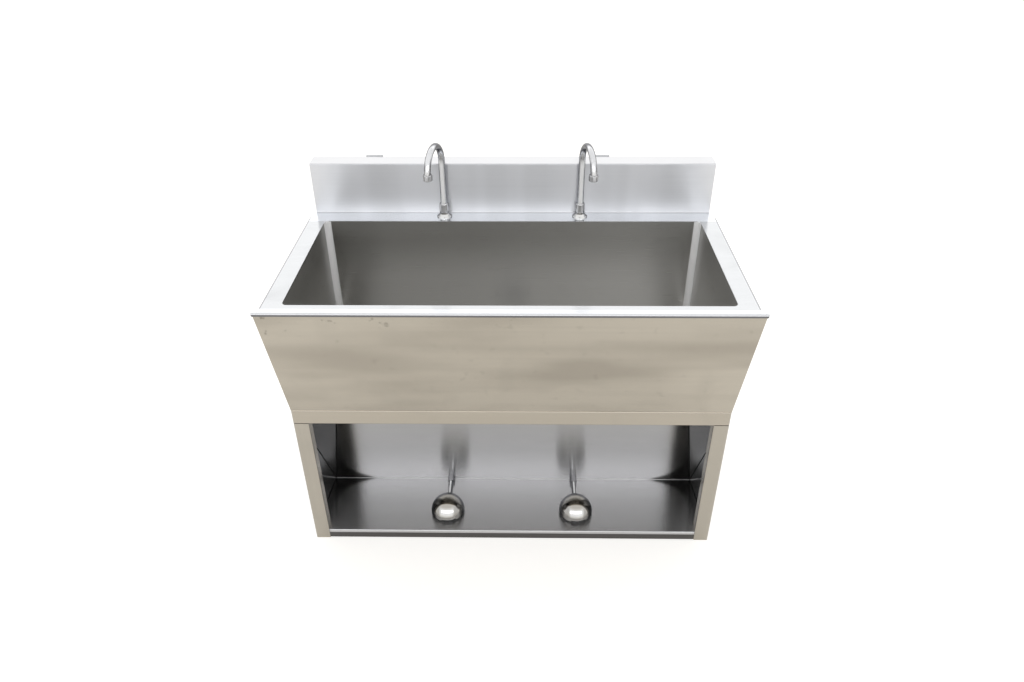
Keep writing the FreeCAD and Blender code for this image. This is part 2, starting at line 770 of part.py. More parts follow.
def make_tail_nuts():
    pieces = []
    lap = tail_nut_height / 2
    for _, sign in SIDES:
        x = spout_axis(sign)
        nut = hexagon(tail_nut_flats, at(x, y_spout, z_shank_end - lap), UP, tail_nut_height, 0)
        nut = nut.cut(rod(riser_radius + thread_gap, at(x, y_spout, z_shank_end - lap),
                          at(x, y_spout, z_shank_end)))
        nut = nut.cut(rod(shank_radius + thread_gap, at(x, y_spout, z_shank_end),
                          at(x, y_spout, z_shank_end + lap)))
        pieces.append(nut)
    return Part.makeCompound(pieces)


# ---------------------------------------------------------------- pedals
def screw_places(x):
    """Points on the floor plane under the base screws of the valve at x."""
    places = []
    for k in range(screw_count):
        angle = math.radians(360 / screw_count * (k + 0.5))
        places.append(at(x + screw_circle * math.cos(angle), y_pedal + screw_circle * math.sin(angle), 0))
    return places


def make_valve_base(sign):
    x = sign * half_stations
    bore = stem_radius + running_gap
    z_bore = z_base_top + bore_floor
    profile = [(0, toe_sill), (base_radius, toe_sill), (base_radius, z_base_top), (boss_radius, z_base_top),
               (boss_radius, z_boss_top), (bore, z_boss_top), (bore, z_bore), (0, z_bore)]
    base = turned(profile, x, y_pedal)
    port_start = at(x, y_pedal + boss_radius - sheet, z_outlet)
    port_end = at(x, y_pedal + port_length, z_outlet)
    port = rod(port_radius, port_start, port_end)
    port = port.common(block(x - boss_radius, x + boss_radius, y_pedal, y_toe_back, toe_sill, z_boss_top))
    base = fused(base, port)
    base = base.cut(rod(outlet_radius, at(x, y_pedal + boss_radius, z_outlet), port_end))
    for place in screw_places(x):
        base = base.cut(rod(screw_shank + thread_gap, place, place + UP * z_boss_top))
    return base


def make_valve_screws():
    screws = []
    for _, sign in SIDES:
        for place in screw_places(sign * half_stations):
            tip = toe_sill - sheet - screw_reach
            head = z_base_top + screw_head_height
            profile = [(0, tip), (screw_shank, tip), (screw_shank, z_base_top), (screw_head, z_base_top),
                       (0.8 * screw_head, head), (0, head)]
            screws.append(turned(profile, place.x, place.y))
    return Part.makeCompound(screws)


def make_pedal_dome(sign):
    centre = at(sign * half_stations, y_pedal, z_dome_rim)
    outer = Part.makeSphere(dome_radius, centre, UP, 0, 90, 360)
    inner = Part.makeSphere(dome_radius - dome_wall, centre, UP, 0, 90, 360)
    dome = outer.cut(inner)
    notch = outlet_radius + notch_gap
    z_notch = z_outlet + notch + pedal_travel
    dome = dome.cut(block(centre.x - notch, centre.x + notch, y_pedal, y_pedal + 2 * dome_radius, 0, z_notch))
    x0 = centre.x + finger_notch_offset - finger_notch_width / 2
    return dome.cut(block(x0, x0 + finger_notch_width, y_pedal - 2 * dome_radius, y_pedal, 0,
                          z_dome_rim + finger_notch_height))


def collar_underside():
    inner = dome_radius - dome_wall
    return z_dome_rim + math.sqrt(inner ** 2 - stem_collar ** 2) - collar_height


def make_pedal_stem(sign):
    x = sign * half_stations
    centre = at(x, y_pedal, z_dome_rim)
    z_foot = z_base_top + bore_floor + pedal_travel + end_gap
    z_under = collar_underside()
    top = z_dome_rim + dome_radius
    stem = turned([(0, z_foot), (stem_radius, z_foot), (stem_radius, z_under), (stem_collar, z_under),
                   (stem_collar, top), (0, top)], x, y_pedal)
    return stem.common(Part.makeSphere(dome_radius - dome_wall, centre))


def make_valve_spring(sign):
    x = sign * half_stations
    low = z_boss_top + spring_wire
    high = collar_underside() - spring_wire - end_gap
    count = round(spring_turns * spring_steps)
    points = []
    for k in range(count + 1):
        angle = 2 * math.pi * k / spring_steps
        points.append(at(x + spring_radius * math.cos(angle), y_pedal + spring_radius * math.sin(angle),
                         low + (high - low) * k / count))
    ring = Part.Wire(Part.makeCircle(spring_wire, points[0], points[1] - points[0]))
    return Part.makePolygon(points).makePipeShell([ring], True, False, 1)


def make_outlet_tube(sign):
    x = sign * half_stations
    start = at(x, y_pedal + boss_radius, z_outlet)
    end = at(x, y_toe_back + sheet + union_rear / 2, z_outlet)
    tube = rod(outlet_radius, start, end)
    return tube.cut(rod(outlet_radius - branch_wall, start, end))


def make_bulkhead_fittings():
    pieces = []
    bore = outlet_radius + thread_gap
    for _, sign in SIDES:
        x = sign * half_stations
        front = at(x, y_toe_back - union_front, z_outlet)
        pieces.append(hexagon(union_flats, front, BACK, union_front, bore))
        start = at(x, y_toe_back + sheet, z_outlet)
        middle = start + BACK * (union_rear / 2)
        end = start + BACK * union_rear
        body = hexagon(union_flats, start, BACK, union_rear, 0)
        body = body.cut(rod(outlet_radius, start, middle)).cut(rod(riser_radius, middle, end))
        pieces.append(body)
    return Part.makeCompound(pieces)


# ---------------------------------------------------------------- water pipes
def make_riser_pipe(sign):
    x = sign * half_stations
    y_start = y_toe_back + sheet + union_rear / 2
    corners = [at(x, y_start, z_outlet), at(x, y_spout, z_outlet), at(x, y_spout, z_shank_end)]
    return pipe(corners, riser_radius, riser_radius - branch_wall, riser_bend)


def make_supply_manifold():
    half = half_stations + manifold_stub
    run = rod(manifold_radius, at(-half, y_manifold, manifold_height), at(half, y_manifold, manifold_height))
    tee = rod(manifold_radius + sheet, at(0, y_manifold, manifold_height),
              at(0, y_manifold, manifold_height + 2 * manifold_radius))
    collar = rod(manifold_radius + sheet, at(-1.5 * manifold_radius, y_manifold, manifold_height),
                 at(1.5 * manifold_radius, y_manifold, manifold_height))
    body = fused(run, tee, collar)
    bore = manifold_radius - sheet
    body = body.cut(rod(bore, at(sheet - half, y_manifold, manifold_height),
                        at(half - sheet, y_manifold, manifold_height)))
    body = body.cut(rod(inlet_radius, at(0, y_manifold, manifold_height + manifold_radius),
                        at(0, y_manifold, manifold_height + 3 * manifold_radius)))
    for _, sign in SIDES:
        x = sign * half_stations
        socket = rod(branch_radius, at(x, y_manifold - 2 * manifold_radius, manifold_height),
                     at(x, y_manifold - manifold_radius / 2, manifold_height))
        body = body.cut(socket)
    return body


def make_branch_tubes():
    tubes = []
    for _, sign in SIDES:
        x = sign * half_stations
        corners = [at(x, y_manifold - manifold_radius / 2, manifold_height), at(x, y_pedal, manifold_height),
                   at(x, y_pedal, toe_sill)]
        tubes.append(pipe(corners, branch_radius, branch_radius - branch_wall, branch_bend))
    return Part.makeCompound(tubes)


def make_inlet_pipe():
    y_hex = y_wall - inlet_inset - inlet_thread_length - inlet_hex
    corners = [at(0, y_manifold, manifold_height + manifold_radius), at(0, y_manifold, inlet_height),
               at(0, y_hex + inlet_hex / 2, inlet_height)]
    return pipe(corners, inlet_radius, inlet_radius - sheet, inlet_bend)


def make_inlet_fitting():
    y_hex = y_wall - inlet_inset - inlet_thread_length - inlet_hex
    y_thread = y_hex + inlet_hex
    y_end = y_wall - inlet_inset
    nut = hexagon(inlet_flats, at(0, y_hex, inlet_height), BACK, inlet_hex, 0)
    nut = nut.cut(rod(inlet_radius, at(0, y_hex, inlet_height), at(0, y_hex + inlet_hex / 2, inlet_height)))
    fitting = nut.fuse(rod(inlet_thread, at(0, y_thread, inlet_height), at(0, y_end, inlet_height)))
    return fitting.cut(rod(inlet_thread - 3 * sheet, at(0, y_hex, inlet_height), at(0, y_end, inlet_height)))


# ---------------------------------------------------------------- drain
def make_drain_body():
    z_rim = z_seat + drain_flange_thickness
    inner = drain_cup - drain_wall
    z_floor = z_seat - drain_cup_depth
    z_neck_end = z_floor - drain_neck_length
    ledge = inner - strainer_step
    z_ledge = z_rim - strainer_thickness
    profile = [(drain_neck - drain_wall, z_neck_end), (drain_neck, z_neck_end),
               (drain_neck, z_floor - drain_wall), (drain_cup, z_floor + drain_cup / 4),
               (drain_cup, z_seat), (drain_flange, z_seat),
               (drain_flange, z_rim - drain_wall / 2), (drain_flange - drain_wall, z_rim), (inner, z_rim),
               (inner, z_ledge), (ledge, z_ledge), (ledge, z_ledge - strainer_step),
               (inner, z_ledge - 2 * strainer_step), (inner, z_floor + drain_cup / 4 + drain_wall),
               (drain_neck - drain_wall, z_floor)]
    return turned(profile, 0, y_drain)


def make_drain_strainer():
    top = z_seat + drain_flange_thickness
    low = top - strainer_thickness
    radius = drain_cup - drain_wall
    plate = rod(radius, at(0, y_drain, low), at(0, y_drain, top))
    for step in range(strainer_ring_count):
        ring = strainer_ring + step * strainer_pitch
        count = int(2 * math.pi * ring / strainer_pitch)
        for k in range(count):
            angle = 2 * math.pi * k / count
            place = at(ring * math.cos(angle), y_drain + ring * math.sin(angle), low)
            plate = plate.cut(rod(strainer_hole, place, place + UP * strainer_thickness))
    return plate


def make_drain_gasket():
    z_top = z_seat - sheet
    low = z_top - gasket_thickness
    bore = drain_cup + thread_gap
    return turned([(bore, low), (drain_flange, low), (drain_flange, z_top), (bore, z_top)], 0, y_drain)


def make_drain_locknut():
    z_top = z_seat - sheet - gasket_thickness
    low = z_top - drain_nut_height
    nut = rod(drain_nut_radius, at(0, y_drain, low), at(0, y_drain, z_top))
    nut = nut.cut(rod(drain_cup + thread_gap, at(0, y_drain, low), at(0, y_drain, z_top)))
    for k in range(8):
        angle = math.radians(45 * k)
        place = at(drain_nut_radius * math.cos(angle), y_drain + drain_nut_radius * math.sin(angle), low)
        nut = nut.cut(rod(drain_wall * 1.5, place, place + UP * drain_nut_height))
    return nut


def trap_levels():
    """Heights of the drain neck's end, the tailpiece's foot and the trap's lowest bend."""
    z_neck_end = z_seat - drain_cup_depth - drain_neck_length
    z_foot = z_neck_end + drain_neck_length / 2 - tailpiece_length
    return z_neck_end, z_foot


def make_tailpiece():
    z_neck_end, z_foot = trap_levels()
    top = z_neck_end + drain_neck_length / 2
    pipe_wall = rod(waste_radius, at(0, y_drain, z_foot), at(0, y_drain, top))
    pipe_wall = pipe_wall.cut(rod(drain_neck + thread_gap, at(0, y_drain, z_foot), at(0, y_drain, top)))
    return pipe_wall


def make_trap_bend():
    _, z_foot = trap_levels()
    y_up = y_drain + 2 * waste_bend
    z_low = z_foot - trap_straight - waste_bend
    corners = [at(0, y_drain, z_foot), at(0, y_drain, z_low), at(0, y_up, z_low), at(0, y_up, z_foot)]
    return pipe(corners, waste_radius, waste_radius - waste_wall, waste_bend)


def make_waste_arm():
    _, z_foot = trap_levels()
    y_up = y_drain + 2 * waste_bend
    z_arm = z_foot + arm_rise + arm_bend
    corners = [at(0, y_up, z_foot), at(0, y_up, z_arm), at(0, y_wall - waste_inset, z_arm)]
    return pipe(corners, waste_radius, waste_radius - waste_wall, arm_bend)


def make_slip_nuts():
    z_neck_end, z_foot = trap_levels()
    y_up = y_drain + 2 * waste_bend
    nuts = []
    places = [(y_drain, z_neck_end + drain_neck_length / 2, drain_neck), (y_drain, z_foot, waste_radius),
              (y_up, z_foot, waste_radius)]
    for y, z, above in places:
        low = at(0, y, z - slip_nut_height / 2)
        middle = at(0, y, z)
        high = at(0, y, z + slip_nut_height / 2)
        nut = rod(slip_nut_radius, low, high)
        nut = nut.cut(rod(waste_radius + thread_gap, low, middle))
        nut = nut.cut(rod(above + thread_gap, middle, high))
        for k in range(12):
            angle = math.radians(30 * k)
            groove = low + at(slip_nut_radius * math.cos(angle), slip_nut_radius * math.sin(angle), 0)
            nut = nut.cut(rod(sheet, groove, groove + UP * slip_nut_height))
        nuts.append(nut)
    return Part.makeCompound(nuts)


# ---------------------------------------------------------------- all the pieces
def make_all():
    backsplash = make_backsplash()
    pieces = {
        "basin": make_basin(),
        "deck": make_deck(),
        "front_apron": make_front_apron(),
        "backsplash": backsplash,
        "wall_tabs": make_wall_tabs(),
        "top_rail": make_top_rail(),
        "bottom_rail": make_bottom_rail(),
        "toe_floor": make_toe_floor(),
        "toe_back_panel": make_toe_back_panel(),
        "rear_top_brace": make_rear_brace(z_skirt - brace_height, z_skirt),
        "rear_middle_brace": make_rear_brace(z_middle_brace - middle_brace_height, z_middle_brace),
        "rear_bottom_brace": make_rear_brace(0, brace_height),
        "basin_bearers": make_basin_bearers(),
        "neck_nuts": make_neck_nuts(),
        "deck_locknuts": make_deck_locknuts(),
        "tail_nuts": make_tail_nuts(),
        "valve_screws": make_valve_screws(),
        "bulkhead_fittings": make_bulkhead_fittings(),
        "supply_manifold": make_supply_manifold(),
        "branch_tubes": make_branch_tubes(),
        "inlet_pipe": make_inlet_pipe(),
        "inlet_fitting": make_inlet_fitting(),
        "drain_body": make_drain_body(),
        "drain_strainer": make_drain_strainer(),
        "drain_gasket": make_drain_gasket(),
        "drain_locknut": make_drain_locknut(),
        "tailpiece": make_tailpiece(),
        "trap_bend": make_trap_bend(),
        "waste_arm": make_waste_arm(),
        "slip_nuts": make_slip_nuts(),
    }
    for name, sign in SIDES:
        turn = spout_left_turn if sign < 0 else spout_right_turn
        pieces[name + "_splash_end"] = make_splash_end(sign, backsplash)
        pieces[name + "_side_panel"] = make_side_panel(sign)
        pieces[name + "_stile"] = make_stile(sign)
        pieces[name + "_liner"] = make_liner(sign)
        pieces[name + "_spout_flange"] = make_spout_flange(sign)
        pieces[name + "_spout_body"] = make_spout_body(sign)
        pieces[name + "_gooseneck"] = make_gooseneck(sign, turn)
        pieces[name + "_aerator"] = make_aerator(sign, turn)
        pieces[name + "_valve_base"] = make_valve_base(sign)
        pieces[name + "_valve_spring"] = make_valve_spring(sign)
        pieces[name + "_pedal_stem"] = make_pedal_stem(sign)
        pieces[name + "_pedal_dome"] = make_pedal_dome(sign)
        pieces[name + "_outlet_tube"] = make_outlet_tube(sign)
        pieces[name + "_riser_pipe"] = make_riser_pipe(sign)
    return pieces


os.makedirs("parts", exist_ok=True)
for node, shape in make_all().items():
    shape.exportStep("parts/" + node + ".step")
    state = "valid" if shape.isValid() else "INVALID"
    print(node, len(shape.Solids), "solids", round(shape.Volume), "mm3", state)
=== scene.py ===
import math

import bmesh
import bpy
from mathutils import Matrix, Vector


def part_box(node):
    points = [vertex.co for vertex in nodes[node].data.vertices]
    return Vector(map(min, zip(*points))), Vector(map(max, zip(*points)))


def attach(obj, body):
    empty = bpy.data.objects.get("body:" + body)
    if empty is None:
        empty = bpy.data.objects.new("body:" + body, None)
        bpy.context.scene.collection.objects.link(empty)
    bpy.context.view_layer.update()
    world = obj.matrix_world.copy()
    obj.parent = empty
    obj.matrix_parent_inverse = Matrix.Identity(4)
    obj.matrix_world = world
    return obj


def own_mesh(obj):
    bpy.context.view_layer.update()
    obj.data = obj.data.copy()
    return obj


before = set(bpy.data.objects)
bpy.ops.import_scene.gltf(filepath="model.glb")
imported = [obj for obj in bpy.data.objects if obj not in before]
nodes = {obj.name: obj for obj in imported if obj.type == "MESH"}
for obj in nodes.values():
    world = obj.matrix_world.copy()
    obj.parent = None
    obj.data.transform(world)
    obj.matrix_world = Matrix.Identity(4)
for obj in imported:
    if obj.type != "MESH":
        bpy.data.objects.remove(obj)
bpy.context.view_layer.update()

SIDES = (("left", -1), ("right", 1))

# Places on the sink, in metres
STATION_X = 0.2                         # each spout and each pedal, out from the middle
SPOUT_Y = 0.231
TOE_FOLD_Y, TOE_FOLD_Z = -0.007, 0.034  # where the toe space's back panel meets its floor

# Among a Mix node's sockets, those for colours, which share their names with other kinds
COLOUR_A, COLOUR_B, COLOUR_RESULT = 6, 7, 2


# ---------------------------------------------------------------- shader nodes
def put(tree, value, socket):
    """Links another node's output to a socket, or sets the socket to a plain value."""
    if isinstance(value, bpy.types.NodeSocket):
        tree.links.new(value, socket)
    else:
        socket.default_value = value


def arithmetic(tree, operation, *values):
    """A Math node; each value is a number or another node's output."""
    node = tree.nodes.new("ShaderNodeMath")
    node.operation = operation
    for socket, value in zip(node.inputs, values):
        put(tree, value, socket)
    return node.outputs[0]


def vector_math(tree, operation, *vectors):
    """A Vector Math node on other nodes' outputs; a single number stands for three equal ones."""
    node = tree.nodes.new("ShaderNodeVectorMath")
    node.operation = operation
    for socket, vector in zip(node.inputs, vectors):
        tree.links.new(vector, socket)
    return node.outputs[0]


def combined(tree, **values):
    """A vector of numbers or other nodes' outputs; components that aren't named are nought."""
    node = tree.nodes.new("ShaderNodeCombineXYZ")
    for axis, value in values.items():
        put(tree, value, node.inputs[axis])
    return node.outputs[0]


def coordinate(tree, kind):
    """The point on the object, or its normal, in the object's own axes."""
    return tree.nodes.new("ShaderNodeTexCoord").outputs[kind]


def component(tree, vector, axis):
    """One component of a vector."""
    split = tree.nodes.new("ShaderNodeSeparateXYZ")
    tree.links.new(vector, split.inputs[0])
    return split.outputs[axis]


def object_axis(tree, axis):
    """One coordinate of the point on the object, in metres."""
    return component(tree, coordinate(tree, "Object"), axis)


def out_from_middle(tree):
    """How far the point is to either side of the sink's middle."""
    return arithmetic(tree, "ABSOLUTE", object_axis(tree, "X"))


def out_from_station(tree):
    """How far the point is to either side of the middle of its own spout and pedal."""
    past = arithmetic(tree, "SUBTRACT", out_from_middle(tree), STATION_X)
    return arithmetic(tree, "ABSOLUTE", past)


def ramp(tree, source, start, end):
    """A soft step from nought at start to one at end; start may be the higher of the two."""
    step = tree.nodes.new("ShaderNodeMapRange")
    step.interpolation_type = "SMOOTHSTEP"
    put(tree, source, step.inputs["Value"])
    put(tree, start, step.inputs["From Min"])
    put(tree, end, step.inputs["From Max"])
    return step.outputs[0]


def ranged(tree, source, low, high):
    """A mask read onto another span of values."""
    span = tree.nodes.new("ShaderNodeMapRange")
    span.inputs["To Min"].default_value = low
    span.inputs["To Max"].default_value = high
    tree.links.new(source, span.inputs["Value"])
    return span.outputs[0]


def noise(tree, place, scale, detail, distortion=0.0):
    """Cloudy values from nought to one."""
    cloud = tree.nodes.new("ShaderNodeTexNoise")
    cloud.inputs["Detail"].default_value = detail
    cloud.inputs["Distortion"].default_value = distortion
    put(tree, scale, cloud.inputs["Scale"])
    tree.links.new(place, cloud.inputs["Vector"])
    return cloud.outputs["Fac"]


def bump(tree, height, distance, strength, normal=None):
    """A normal that follows a height."""
    node = tree.nodes.new("ShaderNodeBump")
    node.inputs["Strength"].default_value = strength
    node.inputs["Distance"].default_value = distance
    tree.links.new(height, node.inputs["Height"])
    if normal is not None:
        tree.links.new(normal, node.inputs["Normal"])
    return node.outputs[0]


def mixed_colour(tree, first, second, factor):
    """Colour that goes from first to second with a mask; first may be another node's output."""
    mix = tree.nodes.new("ShaderNodeMix")
    mix.data_type = "RGBA"
    for socket, colour in ((COLOUR_A, first), (COLOUR_B, second)):
        put(tree, (*colour, 1) if isinstance(colour, tuple) else colour, mix.inputs[socket])
    tree.links.new(factor, mix.inputs["Factor"])
    return mix.outputs[COLOUR_RESULT]


def scaled(colour, factor):
    """A darker or lighter colour, up to white."""
    return tuple(min(1.0, channel * factor) for channel in colour)


def principled(name):
    """A new material, its node tree and its shader."""
    material = bpy.data.materials.new(name)
    material.use_nodes = True
    return material, material.node_tree, material.node_tree.nodes["Principled BSDF"]


# ---------------------------------------------------------------- camera, light and floor
def place_camera():
    """The photograph's viewpoint: standing height, in front, looking down at the sink."""
    place = (0.034695, -1.869617, 1.805607)
    pitch, yaw, roll = 0.58252007, -0.01772025, 0.00620217
    focal_length, picture_width = 765.997, 1024         # in pixels
    sensor_width = 36.0
    forward = Vector((math.sin(yaw) * math.cos(pitch), math.cos(yaw) * math.cos(pitch),
                      -math.sin(pitch)))
    right = Vector((math.cos(yaw), -math.sin(yaw), 0))
    down = forward.cross(right)
    right, down = (right * math.cos(roll) + down * math.sin(roll),
                   down * math.cos(roll) - right * math.sin(roll))
    camera = bpy.data.objects.new("camera", bpy.data.cameras.new("camera"))
    bpy.context.scene.collection.objects.link(camera)
    turn = Matrix((right, -down, -forward)).transposed()
    camera.matrix_world = Matrix.Translation(place) @ turn.to_4x4()
    camera.data.sensor_fit = "HORIZONTAL"
    camera.data.sensor_width = sensor_width
    camera.data.lens = sensor_width * focal_length / picture_width
    camera.data.clip_start = 0.05
    bpy.context.scene.camera = camera


def soft_box(name, place, aim, size, watts):
    """A large flat studio lamp, aimed at a point."""
    lamp = bpy.data.lights.new(name, "AREA")
    lamp.shape = "RECTANGLE"
    lamp.size, lamp.size_y = size
    lamp.energy = watts
    box = bpy.data.objects.new(name, lamp)
    bpy.context.scene.collection.objects.link(box)
    turn = (Vector(aim) - Vector(place)).to_track_quat("-Z", "Y").to_matrix().to_4x4()
    box.matrix_world = Matrix.Translation(place) @ turn
    box.visible_camera = False


def seen_directly(tree):
    """One where a ray comes from the camera, a mirror-like surface or glass, else nought."""
    path = tree.nodes.new("ShaderNodeLightPath").outputs
    camera_or_mirror = arithmetic(tree, "MAXIMUM", path["Is Camera Ray"], path["Is Glossy Ray"])
    return arithmetic(tree, "MAXIMUM", camera_or_mirror, path["Is Transmission Ray"])


def light_studio():
    """White surroundings, with a wide soft box behind and above the sink and another in front.

    The surroundings are brighter where they are seen than as light on the sink."""
    fill_level, background_level = 0.75, 1.0
    world = bpy.data.worlds.new("studio")
    bpy.context.scene.world = world
    world.use_nodes = True
    tree = world.node_tree
    tree.nodes.clear()
    mix = tree.nodes.new("ShaderNodeMixShader")
    tree.links.new(seen_directly(tree), mix.inputs[0])
    for socket, level in zip(mix.inputs[1:], (fill_level, background_level)):
        white = tree.nodes.new("ShaderNodeBackground")
        white.inputs["Color"].default_value = (1, 1, 1, 1)
        white.inputs["Strength"].default_value = level
        tree.links.new(white.outputs[0], socket)
    output = tree.nodes.new("ShaderNodeOutputWorld")
    tree.links.new(mix.outputs[0], output.inputs["Surface"])
    soft_box("rear_softbox", place=(0, 3.0, 3.0), aim=(0, -0.2, 0.9), size=(6.4, 3.4), watts=30)
    soft_box("front_softbox", place=(0, -3.6, 1.9), aim=(0, 0, 0.9), size=(7.0, 1.5), watts=32)


def studio_square(name, reach, material_name, stand):
    """A flat square beside or below the sink; reach is from its middle to its edges.

    Returns it, its empty node tree and the socket that takes its shader."""
    material, tree, _ = principled(material_name)
    tree.nodes.clear()
    mesh = bpy.data.meshes.new(name)
    shape = bmesh.new()
    bmesh.ops.create_grid(shape, x_segments=1, y_segments=1, size=reach, matrix=stand)
    shape.to_mesh(mesh)
    shape.free()
    mesh.materials.append(material)
    square = bpy.data.objects.new(name, mesh)
    bpy.context.scene.collection.objects.link(square)
    return square, tree, tree.nodes.new("ShaderNodeOutputMaterial").inputs["Surface"]


def side_card(name, x):
    """A dark upright card beside the sink, which gives polished metal its edges.

    Only mirror-like surfaces show it."""
    reach, height = 0.6, 1.1
    stand = Matrix.Translation((x, 0, height)) @ Matrix.Rotation(math.pi / 2, 4, "Y")
    card, tree, surface = studio_square(name, reach, name, stand)
    glow = tree.nodes.new("ShaderNodeEmission")
    glow.inputs["Color"].default_value = (0.14, 0.14, 0.15, 1)
    tree.links.new(glow.outputs[0], surface)
    card.visible_camera = False
    card.visible_diffuse = False
    card.visible_transmission = False
    card.visible_shadow = False


def make_floor():
    """A pale floor that keeps the sink's shadow and goes to white where it is seen."""
    reach, mirrored_glow, camera_glow = 14, 0.25, 0.3
    floor, tree, surface = studio_square("studio_floor", reach, "pale_floor", Matrix.Identity(4))
    new, link = tree.nodes.new, tree.links.new
    matt = new("ShaderNodeBsdfDiffuse")
    matt.inputs["Color"].default_value = (0.78, 0.76, 0.72, 1)
    glow = new("ShaderNodeEmission")
    glow.inputs["Color"].default_value = (1, 1, 1, 1)
    camera_ray = new("ShaderNodeLightPath").outputs["Is Camera Ray"]
    camera_share = arithmetic(tree, "MULTIPLY", camera_ray, camera_glow)
    strength = arithmetic(tree, "MULTIPLY_ADD", seen_directly(tree), mirrored_glow, camera_share)
    link(strength, glow.inputs["Strength"])
    both = new("ShaderNodeAddShader")
    link(matt.outputs[0], both.inputs[0])
    link(glow.outputs[0], both.inputs[1])
    link(both.outputs[0], surface)


# ---------------------------------------------------------------- shared finishes
def value_group(name, inputs, outputs):
    """A shader node group of plain numbers; returns the group, what it is given and its results."""
    group = bpy.data.node_groups.new(name, "ShaderNodeTree")
    new_socket = group.interface.new_socket
    for label, value in inputs.items():
        socket = new_socket(name=label, in_out="INPUT", socket_type="NodeSocketFloat")
        socket.default_value = value
    for label in outputs:
        new_socket(name=label, in_out="OUTPUT", socket_type="NodeSocketFloat")
    given = group.nodes.new("NodeGroupInput").outputs
    return group, given, group.nodes.new("NodeGroupOutput").inputs


def faces_sideways(tree):
    """One on faces that look to the left or the right, else nought."""
    threshold = 0.8
    across = arithmetic(tree, "ABSOLUTE", component(tree, coordinate(tree, "Normal"), "X"))
    return arithmetic(tree, "GREATER_THAN", across, threshold)


def steel_grain_group():
    """Long fine grain of belt-polished sheet.

    Long and Fine are grains per metre along it and across it. It runs along X, or up the sheet
    where Turn is one, and along Y on faces that look sideways."""
    group, given, result = value_group(
        "steel_grain", {"Turn": 0.0, "Fine": 900.0, "Long": 9.0}, ["Grain", "Streak"])
    sideways = faces_sideways(group)
    not_x = arithmetic(group, "MAXIMUM", sideways, given["Turn"])
    along = combined(group, X=arithmetic(group, "SUBTRACT", 1.0, not_x), Y=sideways,
                     Z=arithmetic(group, "SUBTRACT", not_x, sideways))
    longer = arithmetic(group, "SUBTRACT", given["Long"], given["Fine"])
    stretch = vector_math(group, "MULTIPLY_ADD", along, longer, given["Fine"])
    stretched = vector_math(group, "MULTIPLY", coordinate(group, "Object"), stretch)
    group.links.new(noise(group, stretched, scale=1.0, detail=3.0), result["Grain"])
    group.links.new(noise(group, stretched, scale=0.16, detail=2.0), result["Streak"])
    return group


def smudge_group():
    """Soft handling marks and water stains. Amount sets how much of the sheet they cover."""
    clean, softness = 0.8, 0.25
    group, given, result = value_group("smudges", {"Size": 7.0, "Amount": 0.4}, ["Mask"])
    cloud = noise(group, coordinate(group, "Object"), given["Size"], detail=5.0, distortion=0.6)
    low = arithmetic(group, "SUBTRACT", clean, given["Amount"])
    high = arithmetic(group, "ADD", low, softness)
    group.links.new(ramp(group, cloud, low, high), result["Mask"])
    return group


def ripple_group():
    """Slow waves left in thin sheet by folding and welding, as a height."""
    group, given, result = value_group("sheet_ripple", {"Size": 2.2}, ["Height"])
    wave = noise(group, coordinate(group, "Object"), given["Size"], detail=1.0)
    group.links.new(wave, result["Height"])
    return group


GRAIN = steel_grain_group()
SMUDGES = smudge_group()
RIPPLE = ripple_group()


def placed(tree, group, **values):
    """A group's node in a material, with its own values."""
    node = tree.nodes.new("ShaderNodeGroup")
    node.node_tree = group
    for label, value in values.items():
        node.inputs[label].default_value = value
    return node


def across_grain(tree, turn):
    """The direction in the sheet at right angles to its grain, for the stretched highlights."""
    sideways = faces_sideways(tree)
    elsewhere = arithmetic(tree, "SUBTRACT", 1.0, sideways)
    along = combined(tree, Y=sideways, **{"Z" if turn else "X": elsewhere})
    normal = tree.nodes.new("ShaderNodeNewGeometry").outputs["Normal"]
    return vector_math(tree, "CROSS_PRODUCT", normal, along)


# ---------------------------------------------------------------- masks, from nought to one; many place painted light and shade
def rear_strip_highlight(tree):
    """The deck between the trough and the splashback, painted lighter as a highlight."""
    return ramp(tree, object_axis(tree, "Y"), start=0.190, end=0.199)


def deck_edge_shade(tree):
    """The turned edges at the deck's two sides, darkened as painted shade."""
    return ramp(tree, out_from_middle(tree), start=0.5950, end=0.5975)


def splash_top_highlight(tree):
    """The splashback's flat top, painted lighter as a highlight."""
    return ramp(tree, object_axis(tree, "Z"), start=1.0158, end=1.0166)


def corner_highlights(tree):
    """The trough's two rear corners, where a painted highlight goes."""
    across = ramp(tree, out_from_middle(tree), start=0.5305, end=0.5335)
    back = ramp(tree, object_axis(tree, "Y"), start=0.178, end=0.184)
    return arithmetic(tree, "MULTIPLY", across, back)


def trough_shade(tree):
    """Darker towards the upper left of the trough."""
    leftwards = ramp(tree, object_axis(tree, "X"), start=0.7, end=-0.5)
    upwards = ramp(tree, object_axis(tree, "Z"), start=0.66, end=0.84)
    left_share, upper_share = 0.35, 0.75
    return arithmetic(tree, "MULTIPLY_ADD", leftwards, left_share,
                      arithmetic(tree, "MULTIPLY", upwards, upper_share))


def lip_top_highlight(tree):
    """The lip, but for the lowest part of its front, painted paler as a highlight."""
    return ramp(tree, object_axis(tree, "Z"), start=0.8625, end=0.8640)


def lip_shadow(tree):
    """The lower half of the lip's front, where it turns under."""
    front = ramp(tree, object_axis(tree, "Y"), start=-0.3322, end=-0.3335)
    low = ramp(tree, object_axis(tree, "Z"), start=0.8664, end=0.8650)
    return arithmetic(tree, "MULTIPLY", front, low)


def toe_upper_shade(tree):
    """The upper part of the toe space's back panel, darkened as painted shade."""
    return ramp(tree, object_axis(tree, "Z"), start=0.05, end=0.17)


def toe_roof_shade(tree):
    """The underside above the toe space, darkened as painted shade."""
    return ramp(tree, object_axis(tree, "Z"), start=0.440, end=0.447)


